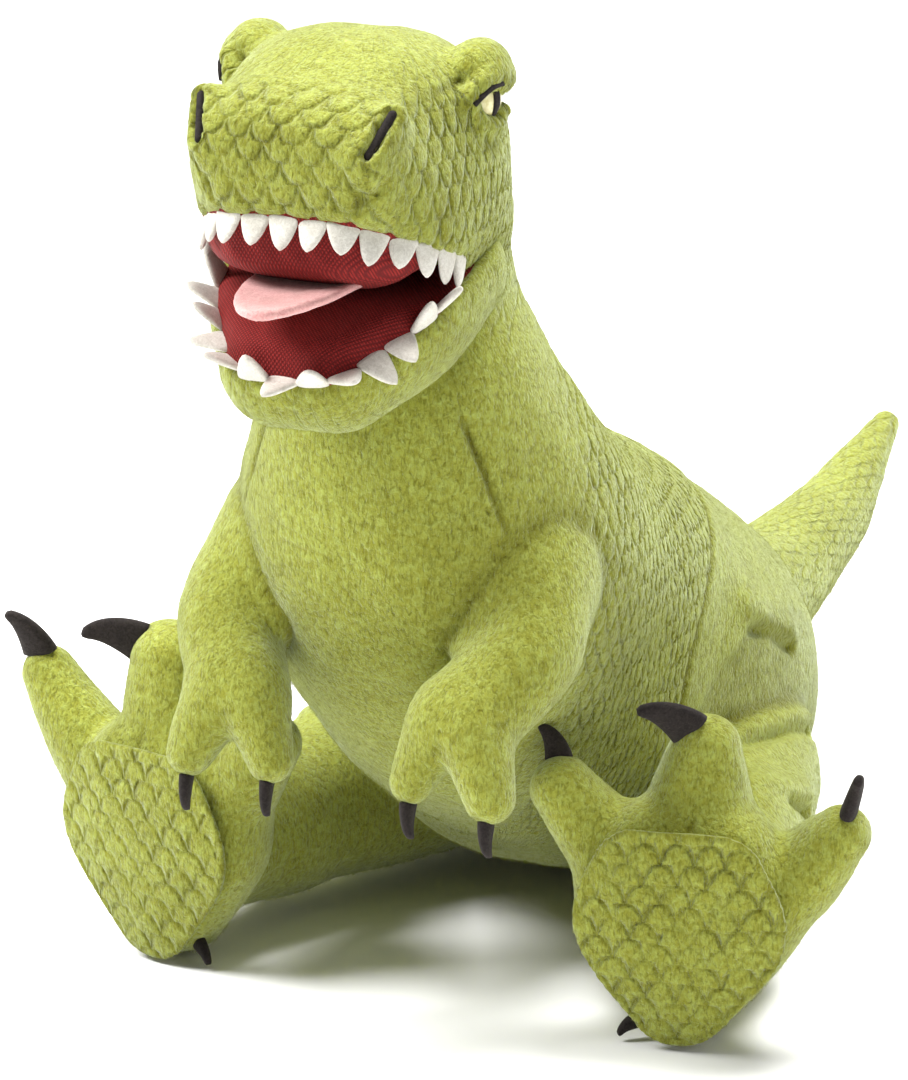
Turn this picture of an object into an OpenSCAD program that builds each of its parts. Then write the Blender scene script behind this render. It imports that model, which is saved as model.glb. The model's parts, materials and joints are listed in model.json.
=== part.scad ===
// Seated stuffed dinosaur: plush skins sewn over fibre filling, with a soft hinge
// at the neck, jaw, shoulders, hips, ankles and tail.
// Millimetres. It faces -Y, its left side is +X, and it sits on the plane z = 0.

/* [Cloth] */
// Thickness of the plush cloth with its pile
skin_t = 3; // [2:0.5:4]
// Gap between pieces that are sewn to the same part
sewn_gap = 0.4; // [0.3:0.1:0.6]
// Room left around each ball end, so that a limb turns freely
joint_gap = 1.2; // [1:0.1:1.6]

/* [Head] */
// Half width of the head at the eyes
head_half_w = 61; // [58:1:64]
// Thickness of the red mouth lining
lining_t = 2; // [1.5:0.5:3]
// Length of an upper tooth below the lip
upper_tooth = 16; // [12:1:18]
// Length of a lower tooth above the lip
lower_tooth = 16; // [12:1:18]
// Thickness of the tongue
tongue_t = 4; // [3:0.5:5]

/* [Trunk] */
// Half width of the chest
chest_r = 84; // [80:1:88]
// Half width of the rump
rump_r = 88; // [84:1:92]
// Radius of the tail where it leaves the rump
tail_r = 40; // [36:1:42]

/* [Limbs] */
// Radius of the upper arm
arm_r = 24; // [22:1:26]
// Radius of the hip end of a leg
hip_r = 48; // [45:1:50]
// Radius of a leg at the ankle
ankle_r = 32; // [30:1:34]
// Thickness of the stitched sole panel
sole_t = 3; // [2:0.5:4]
// Length of a toe claw
claw_len = 22; // [18:1:24]

/* [Hidden] */

LEFT = 1;
RIGHT = -1;
PLUSH = [0.66, 0.72, 0.33];
PLUSH_DEEP = [0.58, 0.64, 0.27];
FILLING = [0.93, 0.93, 0.90];
RED_CLOTH = [0.60, 0.13, 0.11];
PINK_FELT = [0.85, 0.55, 0.54];
CREAM_FELT = [0.85, 0.83, 0.79];
BLACK_FELT = [0.07, 0.06, 0.06];
EYE_YELLOW = [0.86, 0.82, 0.55];

// Facets of the balls in a hull, in a foot, in a filling, in a claw, and elsewhere
HULL_FN = 24;
FOOT_FN = 20;
FILL_FN = 18;
CLAW_FN = 12;
FINE_FN = 48;
$fn = FINE_FN;

// Depth of a lining, and of the filling, below the outside of a skin
fill_gap = 1.2;
lining_inset = skin_t + sewn_gap;
fill_inset = skin_t + fill_gap;
// How much thinner the second of two limb pieces starts where they share a ball
slip = 0.5;
// How far a cutting shape runs past what it cuts, and the side of a cutting box
past = 1;
space = 400;

// Trunk stations: place, radius, width over depth
neck_at = [0, -222, 320];
neck_r = 48;
rump_at = [0, -12, 84];
NECK = [neck_at, neck_r, 1];
THROAT = [[0, -238, 268], 56, 1.12];
CHEST = [[0, -216, 206], 72, chest_r / 72];
BELLY = [[0, -181, 151], 75, 1];
BACK = [[0, -98, 163], 64, chest_r / 64];
RUMP = [rump_at, rump_r, 1.02];
// The trunk is the hull of each of these groups of stations
TRUNK = [[NECK, THROAT], [THROAT, CHEST], [CHEST, BELLY, BACK], [BELLY, BACK, RUMP]];

// Pivots of the limbs and of the tail, on the left side
shoulder_at = [64, -246, 210];
elbow_at = [74, -272, 180];
wrist_at = [52, -303, 153];
shoulder_r = 28;
wrist_r = 19;
FINGER_TIPS = [[34, -310, 129], [68, -312, 128]];
FINGER_R = [11, 12];
hip_at = [62, -46, 54];
shin_at = [111, -160, 42];
ankle_at = [120, -192, 42];
shin_r = ankle_r + 2;
tail_at = [0, 52, 84];
TAIL = [[tail_at, tail_r], [[0, 156, 76], 31], [[0, 250, 88], 20], [[0, 328, 117], 7]];

// Foot, in its own frame: x across, -y out of the sole, z up from the heel
foot_at = [122, -221, 0.1];
foot_turn = [5, 0, 12];
foot_r = 24;
FOOT = [[0, 0, foot_r], [-28, 1, 60], [30, 1, 60], [-15, 2, 84], [17, 2, 84]];
sole_y = -20;
SOLE_OUTLINE = [[0, 26], [-27, 60], [29, 60], [-14, 84], [16, 84]];
sole_edge_r = 23;
// Inner, middle and outer toe: root, tip, root radius, tip radius, claw direction
TOES = [[[-30, 5, 80], [-56, 5, 112], 18, 12, [-0.2, -0.75, 0.65]],
    [[3, 8, 90], [9, 16, 132], 23, 15, [-0.3, -0.9, 0.4]],
    [[36, 5, 72], [80, 8, 104], 20, 12, [0.1, -0.1, 1]]];
heel_claw_at = [-20, -8, 8];
heel_claw_root = 6;
// Claws: radius, direction and the way they bend; toe claws take their direction from TOES
toe_claw_r = 5.5;
TOE_CLAW_BEND = [0, -0.4, -0.2];
heel_claw_len = 10;
heel_claw_r = 3;
HEEL_CLAW = [[-0.6, -0.8, -0.1], [0, 0, 0.2]];
finger_claw_len = 14;
finger_claw_r = 4;
FINGER_CLAW = [[0, -0.35, -1], [0.1, 0.4, -0.3]];

// Head and jaw, from back to front: place, radius, width over depth
skull_at = [0, -283, 390];
HEAD = [[skull_at, 52, head_half_w / 52], [[0, -252, 364], 42, 1.25],
    [[0, -345, 400], 29, 1.55], [[0, -318, 370], 34, 1.76]];
jaw_hinge_at = [0, -298, 338];
jaw_roll_r = 21;
jaw_roll_half = 40;
JAW_FRONT = [[0, -343, 309], 25, 1.5];
// The mouth is open between two planes that meet behind the hinge
mouth_back = [0, -276, 346];
PALATE_TILT = -20;
JAW_TILT = 22;
// The lip line seen from above: centre y, half length, half width, squareness
LIP_UP = [-304, 56, 54, 0.9];
LIP_LOW = [-302, 62, 52, 0.9];
UPPER_TEETH = 15;
LOWER_TEETH = 11;
// Angle that each row of teeth spans, in degrees
UPPER_SWEEP = 156;
LOWER_SWEEP = 130;
UPPER_SPREAD = 8;
LOWER_SPREAD = 14;
tooth_t = 2.5;
tooth_w = 9;
// Tongue, from its place in the mouth: centre along y and radius of each round
tongue_at = [0, -60, 2];
TONGUE_TILT = 4;
TONGUE = [[0, 19], [-10, 15], [24, 12]];

eye_at = [55, -292, 418];
eye_r = 12;
// Slit pupil: how far it stands off the eye, where it is cut from, and its box
pupil_t = 1.5;
pupil_out = [8, -8, 0];
pupil_box = [20, 4, 12];
brow_at = [48, -279, 426];
brow_r = 15;
NOSTRIL = [[43, -352, 424], [37, -362, 403], 4];

// Swing of each limb that its parent leaves room for, in degrees
ARM_SWING = [-18, 0, 20, 40, 58];
LEG_SWING = [-18, 0, 20, 42, 65];
TAIL_SWING = [-28, -14, 0, 14, 28];
NOD_SWING = [-16, 0, 16];

module ball(at, r, facets = FINE_FN) {
    translate(at)
        sphere(r, $fn = facets);
}

// A straight limb piece, turned from one outline: a ball at each end and a cone
// just inside them.
module taper(p, q, rp, rq) {
    inside = 0.97;
    d = q - p;
    length = norm(d);
    translate(p)
        rotate([0, acos(d.z / length), atan2(d.y, d.x)])
            rotate_extrude()
                intersection() {
                    union() {
                        circle(rp);
                        translate([0, length])
                            circle(rq);
                        polygon([[0, 0], [rp * inside, 0], [rq * inside, length], [0, length]]);
                    }
                    translate([0, -rp])
                        square([rp + rq, rp + length + rq]);
                }
}

// The child shape at each of several angles about an axis through a pivot.
module swung(pivot, axis, angles) {
    for (angle = angles)
        translate(pivot)
            rotate(angle, axis)
                translate(-pivot)
                    children();
}

// The child on the left side, or its mirror image on the right side.
module on_side(side) {
    mirror([side == RIGHT ? 1 : 0, 0, 0])
        children();
}

// Everything above a level.
module above(level) {
    translate([-space, -space, level])
        cube(2 * space);
}

/* Trunk and tail */

module trunk_form(inset, facets = HULL_FN) {
    intersection() {
        for (group = TRUNK)
            hull()
                for (station = group)
                    translate(station[0])
                        scale([station[2], 1, 1])
                            sphere(station[1] - inset, $fn = facets);
        above(inset);
    }
}

// Room that the limbs and the tail take out of the trunk as they swing.
module trunk_sockets(gap, facets = HULL_FN) {
    for (side = [LEFT, RIGHT])
        on_side(side) {
            hull() {
                ball(shoulder_at, shoulder_r + gap, facets);
                swung(shoulder_at, [-1, 0, 0], ARM_SWING)
                    ball(elbow_at, arm_r + gap, facets);
            }
            hull() {
                ball(hip_at, hip_r + gap, facets);
                swung(hip_at, [1, 0, 0], LEG_SWING)
                    ball(shin_at, shin_r + gap, facets);
            }
        }
    hull() {
        ball(tail_at, tail_r + gap, facets);
        swung(tail_at, [0, 0, 1], TAIL_SWING)
            ball(TAIL[1][0], TAIL[1][1] + gap, facets);
    }
}

module torso_skin() {
    color(PLUSH)
        difference() {
            trunk_form(0);
            trunk_form(skin_t);
            trunk_sockets(joint_gap);
        }
}

module torso_stuffing() {
    color(FILLING)
        difference() {
            trunk_form(fill_inset, FILL_FN);
            trunk_sockets(joint_gap + fill_inset, FILL_FN);
        }
}

module tail_form(inset) {
    for (i = [0 : len(TAIL) - 2])
        taper(TAIL[i][0], TAIL[i + 1][0], TAIL[i][1] - inset - (i > 0 ? slip : 0),
            TAIL[i + 1][1] - inset);
}

module tail_skin() {
    color(PLUSH)
        difference() {
            tail_form(0);
            tail_form(skin_t);
        }
}

module tail_stuffing() {
    color(FILLING)
        tail_form(fill_inset);
}

/* Head */

// The whole head, before the mouth is opened and the neck is let in.
module head_form(inset, facets = HULL_FN) {
    hull()
        for (station = HEAD)
            translate(station[0])
                scale([station[2], 1, 1])
                    sphere(station[1] - inset, $fn = facets);
}

// Half of space above a plane through the back of the mouth, tilted about X.
module over_plane(tilt, lift) {
    translate(mouth_back)
        rotate([tilt, 0, 0])
            translate([-space / 2, -space, lift])
                cube([space, 2 * space, space]);
}

// Room for the neck and for the round back end of the jaw.
module head_sockets(gap) {
    hull() {
        ball(neck_at, neck_r + gap, HULL_FN);
        swung(neck_at, [1, 0, 0], NOD_SWING)
            ball(THROAT[0], THROAT[1] * THROAT[2] + gap, HULL_FN);
    }
    jaw_roll(gap);
}

module jaw_roll(gap) {
    hull()
        for (side = [LEFT, RIGHT])
            ball(jaw_hinge_at + [side * jaw_roll_half, 0, 0], jaw_roll_r + gap, HULL_FN);
}

// The head above the palate, together with the cheeks behind the mouth.
module head_shell_form(inset, lift, facets = HULL_FN) {
    difference() {
        head_form(inset, facets);
        difference() {
            translate(mouth_back + [-space / 2, -space, -space])
                cube([space, space, 2 * space]);
            over_plane(PALATE_TILT, lift);
        }
    }
}

module head_skin() {
    color(PLUSH)
        difference() {
            head_shell_form(0, 0);
            head_form(skin_t);
            head_sockets(joint_gap);
        }
}

module head_stuffing() {
    color(FILLING)
        difference() {
            head_shell_form(fill_inset, lining_t + sewn_gap, FILL_FN);
            head_sockets(joint_gap + fill_inset);
        }
}

module palate_lining() {
    color(RED_CLOTH)
        difference() {
            head_shell_form(lining_inset, 0);
            over_plane(PALATE_TILT, lining_t);
            translate(jaw_hinge_at - [space / 2, 0, space / 2])
                cube(space);
            head_sockets(joint_gap);
        }
}

// Place on a lip line at an angle from straight ahead.
function lip_at(lip, angle) = [
    lip[2] * sign(sin(angle)) * pow(abs(sin(angle)), lip[3]),
    lip[0] - lip[1] * pow(cos(angle), lip[3])];

// A row of flat felt teeth that stand along a lip line on a mouth plane.
module tooth_row(lip, count, sweep, tilt, height, spread) {
    for (i = [0 : count - 1]) {
        angle = (i / (count - 1) - 0.5) * sweep;
        at = lip_at(lip, angle);
        translate(mouth_back)
            rotate([tilt, 0, 0])
                translate([at.x, at.y - mouth_back.y, 0])
                    rotate([90 - spread, 0, angle])
                        linear_extrude(tooth_t, center = true)
                            tooth_outline(height);
    }
}

// A tooth points along +y when its height is positive.
module tooth_outline(height) {
    s = sign(height);
    polygon([[-tooth_w / 2, s * sewn_gap], [tooth_w / 2, s * sewn_gap],
        [tooth_w * 0.3, height * 0.6], [tooth_w * 0.1, height],
        [-tooth_w * 0.1, height], [-tooth_w * 0.3, height * 0.6]]);
}

module upper_teeth() {
    color(CREAM_FELT)
        tooth_row(LIP_UP, UPPER_TEETH, UPPER_SWEEP, PALATE_TILT, -upper_tooth, UPPER_SPREAD);
}

module eye(side) {
    color(EYE_YELLOW)
        on_side(side)
            difference() {
                ball(eye_at, eye_r);
                head_form(-sewn_gap);
            }
}

module pupil(side) {
    color(BLACK_FELT)
        on_side(side)
            difference() {
                intersection() {
                    ball(eye_at, eye_r + pupil_t);
                    translate(eye_at + pupil_out)
                        cube(pupil_box, center = true);
                }
                ball(eye_at, eye_r + sewn_gap);
                head_form(-sewn_gap);
                ball(brow_at, brow_r + sewn_gap);
            }
}

module brow(side) {
    color(PLUSH)
        on_side(side)
            difference() {
                ball(brow_at, brow_r, HULL_FN);
                head_form(-sewn_gap);
                ball(eye_at, eye_r + sewn_gap, HULL_FN);
            }
}

module nostril(side) {
    color(BLACK_FELT)
        on_side(side)
            difference() {
                taper(NOSTRIL[0], NOSTRIL[1], NOSTRIL[2], NOSTRIL[2]);
                head_form(-sewn_gap);
            }
}

/* Jaw */

module jaw_form(inset) {
    hull() {
        jaw_roll(-inset);
        translate(JAW_FRONT[0])
            scale([JAW_FRONT[2], 1, 1])
                sphere(JAW_FRONT[1] - inset, $fn = HULL_FN);
    }
}

// The jaw under the lower mouth plane, with its round back end kept whole.
module jaw_shell_form(inset, drop) {
    difference() {
        jaw_form(inset);
        difference() {
            over_plane(JAW_TILT, -drop);
            jaw_roll(-inset);
        }
    }
}

module jaw_skin() {
    color(PLUSH)
        difference() {
            jaw_shell_form(0, 0);
            jaw_shell_form(skin_t, -past);
        }
}

module jaw_lining() {
    color(RED_CLOTH)
        difference() {
            jaw_shell_form(lining_inset, 0);
            difference() {
                jaw_form(-past);
                over_plane(JAW_TILT, -lining_t);
            }
            jaw_roll(sewn_gap);
        }
}

module jaw_stuffing() {
    color(FILLING)
        jaw_shell_form(fill_inset, lining_t + sewn_gap);
}

module lower_teeth() {
    color(CREAM_FELT)
        tooth_row(LIP_LOW, LOWER_TEETH, LOWER_SWEEP, JAW_TILT, lower_tooth, LOWER_SPREAD);
}

module tongue() {
    color(PINK_FELT)
        difference() {
            translate(mouth_back)
                rotate([TONGUE_TILT, 0, 0])
                    translate(tongue_at)
                        linear_extrude(tongue_t)
                            hull()
                                for (round = TONGUE)
                                    translate([0, round[0]])
                                        circle(round[1], $fn = HULL_FN);
            jaw_roll(sewn_gap);
        }
}

/* Arms */

module arm_form(inset) {
    taper(shoulder_at, elbow_at, shoulder_r - inset, arm_r - inset);
    taper(elbow_at, wrist_at, arm_r - inset - slip, wrist_r - inset);
}

module arm_skin(side) {
    color(PLUSH)
        on_side(side)
            difference() {
                arm_form(0);
                arm_form(skin_t);
            }
}

module arm_stuffing(side) {
    color(FILLING)
        on_side(side)
            arm_form(fill_inset);
}

// One finger, from the palm to its tip.
module finger_form(i, outset) {
    root = wrist_at + (FINGER_TIPS[i] - wrist_at) * 0.3;
    taper(root, FINGER_TIPS[i], FINGER_R[i] + 3 + outset, FINGER_R[i] + outset);
}

module finger(side, i) {
    color(PLUSH)
        on_side(side)
            difference() {
                finger_form(i, 0);
                taper(elbow_at, wrist_at, arm_r + sewn_gap, wrist_r + sewn_gap);
                if (i == 0)
                    finger_form(1, sewn_gap);
            }
}

// A curved claw on the ball end of a toe: two tapered lengths that bend one way.
module claw(at, root_r, direction, bend, length, r) {
    aim = direction / norm(direction);
    bent = (aim + bend) / norm(aim + bend);
    start = at + aim * (root_r + sewn_gap + r);
    middle = start + aim * length * 0.2;
    tip = middle + bent * length * 0.6;
    middle_r = r * 0.8;
    tip_r = r * 0.25;
    hull() {
        ball(start, r, CLAW_FN);
        ball(middle, middle_r, CLAW_FN);
    }
    hull() {
        ball(middle, middle_r, CLAW_FN);
        ball(tip, tip_r, CLAW_FN);
    }
}

module arm_claws(side) {
    color(BLACK_FELT)
        on_side(side)
            for (i = [0, 1])
                claw(FINGER_TIPS[i], FINGER_R[i], FINGER_CLAW[0], FINGER_CLAW[1],
                    finger_claw_len, finger_claw_r);
}

/* Legs and feet */

module leg_form(inset) {
    taper(hip_at, shin_at, hip_r - inset, shin_r - inset);
    taper(shin_at, ankle_at, shin_r - inset - slip, ankle_r - inset);
}

module leg_skin(side) {
    color(PLUSH)
        on_side(side)
            difference() {
                leg_form(0);
                leg_form(skin_t);
            }
}

module leg_stuffing(side) {
    color(FILLING)
        on_side(side)
            leg_form(fill_inset);
}

// The child placed on the left or right ankle, from the foot's own frame.
module at_foot(side) {
    on_side(side)
        translate(foot_at)
            rotate(foot_turn)
                children();
}

// Everything behind the face that the sole panel lies on.
module behind_sole(y) {
    translate([-space / 2, y, -space / 2])
        cube(space);
}

module foot_form(inset) {
    hull()
        for (at = FOOT)
            ball(at, foot_r - inset, FOOT_FN);
}

module foot_skin(side) {
    color(PLUSH)
        difference() {
            at_foot(side)
                difference() {
                    intersection() {
                        foot_form(0);
                        behind_sole(sole_y);
                    }
                    intersection() {
                        foot_form(skin_t);
                        behind_sole(sole_y + skin_t);
                    }
                }
            on_side(side)
                ball(ankle_at, ankle_r + joint_gap);
        }
}

module foot_stuffing(side) {
    color(FILLING)
        difference() {
            at_foot(side)
                intersection() {
                    foot_form(fill_inset);
                    behind_sole(sole_y + fill_inset);
                }
            on_side(side)
                ball(ankle_at, ankle_r + joint_gap + fill_inset);
        }
}

module sole_panel(side) {
    color(PLUSH)
        at_foot(side)
            translate([0, sole_y - sewn_gap, 0])
                rotate([90, 0, 0])
                    linear_extrude(sole_t)
                        hull()
                            for (at = SOLE_OUTLINE)
                                translate(at)
                                    circle(sole_edge_r, $fn = HULL_FN);
}

module toe_form(i, outset) {
    toe = TOES[i];
    taper(toe[0], toe[1], toe[2] + outset, toe[3] + outset);
}

module toe(side, i) {
    color(PLUSH)
        at_foot(side)
            difference() {
                intersection() {
                    toe_form(i, 0);
                    behind_sole(sole_y);
                }
                foot_form(-sewn_gap);
                if (i != 1)
                    toe_form(1, sewn_gap);
            }
}

module toe_claws(side) {
    color(BLACK_FELT)
        at_foot(side)
            for (toe = TOES)
                claw(toe[1], toe[3], toe[4], TOE_CLAW_BEND, claw_len, toe_claw_r);
}

module heel_claw(side) {
    color(BLACK_FELT)
        at_foot(side)
            claw(heel_claw_at, heel_claw_root, HEEL_CLAW[0], HEEL_CLAW[1],
                heel_claw_len, heel_claw_r);
}

torso_skin();
torso_stuffing();
tail_skin();
tail_stuffing();
head_skin();
head_stuffing();
palate_lining();
upper_teeth();
eye(LEFT);  // left_eye
eye(RIGHT);  // right_eye
pupil(LEFT);  // left_pupil
pupil(RIGHT);  // right_pupil
brow(LEFT);  // left_brow
brow(RIGHT);  // right_brow
nostril(LEFT);  // left_nostril
nostril(RIGHT);  // right_nostril
jaw_skin();
jaw_stuffing();
jaw_lining();
lower_teeth();
tongue();
arm_skin(LEFT);  // left_arm_skin
arm_skin(RIGHT);  // right_arm_skin
arm_stuffing(LEFT);  // left_arm_stuffing
arm_stuffing(RIGHT);  // right_arm_stuffing
finger(LEFT, 0);  // left_inner_finger
finger(RIGHT, 0);  // right_inner_finger
finger(LEFT, 1);  // left_outer_finger
finger(RIGHT, 1);  // right_outer_finger
arm_claws(LEFT);  // left_arm_claws
arm_claws(RIGHT);  // right_arm_claws
leg_skin(LEFT);  // left_leg_skin
leg_skin(RIGHT);  // right_leg_skin
leg_stuffing(LEFT);  // left_leg_stuffing
leg_stuffing(RIGHT);  // right_leg_stuffing
foot_skin(LEFT);  // left_foot_skin
foot_skin(RIGHT);  // right_foot_skin
foot_stuffing(LEFT);  // left_foot_stuffing
foot_stuffing(RIGHT);  // right_foot_stuffing
sole_panel(LEFT);  // left_sole_panel
sole_panel(RIGHT);  // right_sole_panel
toe(LEFT, 0);  // left_inner_toe
toe(RIGHT, 0);  // right_inner_toe
toe(LEFT, 1);  // left_middle_toe
toe(RIGHT, 1);  // right_middle_toe
toe(LEFT, 2);  // left_outer_toe
toe(RIGHT, 2);  // right_outer_toe
toe_claws(LEFT);  // left_toe_claws
toe_claws(RIGHT);  // right_toe_claws
heel_claw(LEFT);  // left_heel_claw
heel_claw(RIGHT);  // right_heel_claw
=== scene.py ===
from itertools import product
import json
import math

import bpy
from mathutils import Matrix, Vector
import numpy as np

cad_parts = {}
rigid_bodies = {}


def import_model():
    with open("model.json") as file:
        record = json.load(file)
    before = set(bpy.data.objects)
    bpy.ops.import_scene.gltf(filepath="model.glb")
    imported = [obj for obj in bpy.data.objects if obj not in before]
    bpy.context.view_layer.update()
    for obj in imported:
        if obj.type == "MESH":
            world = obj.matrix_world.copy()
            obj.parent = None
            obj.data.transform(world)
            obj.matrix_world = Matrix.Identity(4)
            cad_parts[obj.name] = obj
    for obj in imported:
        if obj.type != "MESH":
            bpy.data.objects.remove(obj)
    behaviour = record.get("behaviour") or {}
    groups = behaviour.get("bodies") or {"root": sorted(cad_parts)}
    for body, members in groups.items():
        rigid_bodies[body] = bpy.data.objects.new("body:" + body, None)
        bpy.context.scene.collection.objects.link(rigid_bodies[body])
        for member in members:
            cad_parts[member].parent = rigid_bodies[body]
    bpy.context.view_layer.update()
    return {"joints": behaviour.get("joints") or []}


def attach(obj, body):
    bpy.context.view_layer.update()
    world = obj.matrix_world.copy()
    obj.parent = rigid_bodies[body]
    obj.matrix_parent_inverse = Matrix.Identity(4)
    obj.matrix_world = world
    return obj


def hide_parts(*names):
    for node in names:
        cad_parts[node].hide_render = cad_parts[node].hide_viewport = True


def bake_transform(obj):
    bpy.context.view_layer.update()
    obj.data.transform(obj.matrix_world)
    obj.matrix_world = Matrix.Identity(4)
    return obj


# Looks of a seated plush dinosaur. Lengths are millimetres until a mesh is made.
# It faces -Y and its left side is +X. Left pieces are made first, then mirrored.

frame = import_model()

MM = 0.001
CELL = 1.7          # spacing of a plush cover's vertices
FINE_CELL = 0.9     # the same for the small trim
STEP = 4.0                            # spacing of the balls that a form is swept from
LEFT, RIGHT = 1, -1
SIDE_NAMES = {LEFT: "left", RIGHT: "right"}

PIVOT = {j["name"]: np.array(j["pos_m"]) / MM for j in frame["joints"]}
NECK = PIVOT["neck_nod"]
HINGE = PIVOT["jaw_open"]
TAIL = PIVOT["tail_swing"]
SHOULDER = PIVOT["left_shoulder"]
HIP = PIVOT["left_hip"]
ANKLE = PIVOT["left_ankle"]


# ---------------------------------------------------------------- fields

def unit(v):
    v = np.asarray(v, float)
    return v / np.linalg.norm(v)


def smooth_min(a, b, k):
    h = np.clip(0.5 + 0.5 * (b - a) / k, 0, 1)
    return a * h + b * (1 - h) - k * h * (1 - h)


def smooth_max(a, b, k):
    return -smooth_min(-a, -b, k)


def ramp(x, low, high):
    t = np.clip((x - low) / (high - low), 0, 1)
    return t * t * (3 - 2 * t)


def sweep(anchor, *rows, rounding=10):
    """Balls along a rounded path. A row is x, y, z from the anchor, radius, and half the flat width."""
    rows = np.array(rows, float)
    rows[:, :3] += anchor
    balls = [rows[:1]]
    for a, b in zip(rows[:-1], rows[1:]):
        count = max(2, int(np.linalg.norm(b[:3] - a[:3]) / STEP))
        t = np.arange(1, count + 1)[:, None] / count
        balls.append(a + (b - a) * t)
    balls = np.vstack(balls)
    for _ in range(rounding):
        balls[1:-1] = (balls[:-2] + 2 * balls[1:-1] + balls[2:]) / 4
    return balls


def swept(P, balls):
    """Signed distance to a swept form."""
    d = np.full(len(P), 1e6)
    for x, y, z, r, flat in balls:
        across = np.maximum(np.abs(P[:, 0] - x) - flat, 0)
        d = np.minimum(d, np.sqrt(across**2 + (P[:, 1] - y) ** 2 + (P[:, 2] - z) ** 2) - r)
    return d


def to_line(P, line):
    """Distance to a line through points."""
    line = np.asarray(line, float)
    d = np.full(len(P), 1e6)
    for a, b in zip(line[:-1], line[1:]):
        along = np.clip((P - a) @ (b - a) / max((b - a) @ (b - a), 1e-9), 0, 1)
        d = np.minimum(d, np.linalg.norm(P - a - along[:, None] * (b - a), axis=1))
    return d


LATTICE = np.random.default_rng(7).uniform(-1, 1, 4096)


def noise(P, size, seed=0):
    """Smooth noise from -1 to 1 with lumps about size across."""
    q = P / size + 31.7 * (seed + 1)
    cell = np.floor(q).astype(np.int64)
    f = q - cell
    f = f * f * (3 - 2 * f)
    total = 0
    for corner in product((0, 1), repeat=3):
        key = (cell + corner) @ np.array([73856093, 19349663, 83492791])
        weight = np.prod(np.where(corner, f, 1 - f), axis=1)
        total = total + weight * LATTICE[key & 4095]
    return total


# ---------------------------------------------------------------- meshes

CORNERS = np.array(list(product((0, 1), repeat=3)))
EDGES = [(a, b) for a in range(8) for b in range(a + 1, 8) if abs(CORNERS[a] - CORNERS[b]).sum() == 1]
COARSE = 4


def sample(field, low, cell, shape):
    """The field on a grid, exact near its surface and coarse elsewhere."""
    axes = [low[a] + cell * np.arange(shape[a]) for a in range(3)]
    coarse = [axis[::COARSE] for axis in axes]
    points = np.stack(np.meshgrid(*coarse, indexing="ij"), -1).reshape(-1, 3)
    rough = field(points).reshape([len(c) for c in coarse])
    values = rough
    for a in range(3):
        values = np.repeat(values, COARSE, axis=a)
        values = values.take(range(shape[a]), axis=a)
    near = np.argwhere(np.abs(values) < COARSE * cell * 2.0)
    values = values.copy()
    values[tuple(near.T)] = field(low + cell * near)
    return values


def surface(field, low, high, cell):
    """Quad mesh of the surface where the field is 0: one vertex in each cell that it crosses."""
    low, high = np.asarray(low, float), np.asarray(high, float)
    shape = np.ceil((high - low) / cell).astype(int) + 2
    values = sample(field, low, cell, shape)
    n = shape - 1
    corner = [values[c[0]:c[0] + n[0], c[1]:c[1] + n[1], c[2]:c[2] + n[2]] for c in CORNERS]
    inside = sum((c < 0).astype(np.int8) for c in corner)
    mixed = (inside > 0) & (inside < 8)
    cells = np.argwhere(mixed)
    at_corner = np.stack([c[mixed] for c in corner], 1)
    total, hits = np.zeros((len(cells), 3)), np.zeros(len(cells))
    for a, b in EDGES:
        va, vb = at_corner[:, a], at_corner[:, b]
        cross = (va < 0) != (vb < 0)
        t = va[cross] / (va[cross] - vb[cross])
        total[cross] += CORNERS[a] + (CORNERS[b] - CORNERS[a]) * t[:, None]
        hits[cross] += 1
    verts = low + cell * (cells + total / hits[:, None])
    index = np.full(mixed.shape, -1)
    index[mixed] = np.arange(len(cells))
    faces = []
    for axis in range(3):
        ahead = np.roll(np.eye(3, dtype=int)[0], axis)
        step = values[ahead[0]:, ahead[1]:, ahead[2]:]
        here = values[:step.shape[0], :step.shape[1], :step.shape[2]]
        edge = np.argwhere((here < 0) != (step < 0))
        b, c = (axis + 1) % 3, (axis + 2) % 3
        edge = edge[(edge[:, b] > 0) & (edge[:, c] > 0) & (edge[:, b] < n[b]) & (edge[:, c] < n[c])]
        quad = []
        for db, dc in ((1, 1), (0, 1), (0, 0), (1, 0)):
            cell_at = edge.copy()
            cell_at[:, b] -= db
            cell_at[:, c] -= dc
            quad.append(index[tuple(cell_at.T)])
        quad = np.stack(quad, 1)
        outward = here[tuple(edge.T)] < 0
        quad[~outward] = quad[~outward][:, ::-1]
        faces.append(quad)
    faces = np.vstack(faces)
    faces = faces[(faces >= 0).all(1)]
    for _ in range(3):
        verts = onto(field, relaxed(verts, faces))
    return verts, faces


def relaxed(verts, faces):
    """Each vertex halfway to the middle of its neighbours."""
    total, count = np.zeros_like(verts), np.zeros(len(verts))
    for k in range(4):
        np.add.at(total, faces[:, k], verts[faces[:, k - 1]] + verts[faces[:, (k + 1) % 4]])
        np.add.at(count, faces[:, k], 2)
    return verts + 0.5 * (total / np.maximum(count, 1)[:, None] - verts)


def slope(field, P, reach=0.4):
    rows = []
    for axis in np.eye(3) * reach:
        rows.append((field(P + axis) - field(P - axis)) / (2 * reach))
    return np.stack(rows, 1)


def onto(field, verts):
    """Vertices moved onto the field's surface."""
    g = slope(field, verts)
    size = np.maximum((g * g).sum(1), 0.05)
    return verts - np.clip(field(verts) / size, -3, 3)[:, None] * g


def normals_of(verts, faces):
    a, b, c, d = (verts[faces[:, k]] for k in range(4))
    n = np.cross(c - a, d - b)
    out = np.zeros_like(verts)
    for k in range(4):
        np.add.at(out, faces[:, k], n)
    return out / np.maximum(np.linalg.norm(out, axis=1), 1e-9)[:, None]


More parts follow.
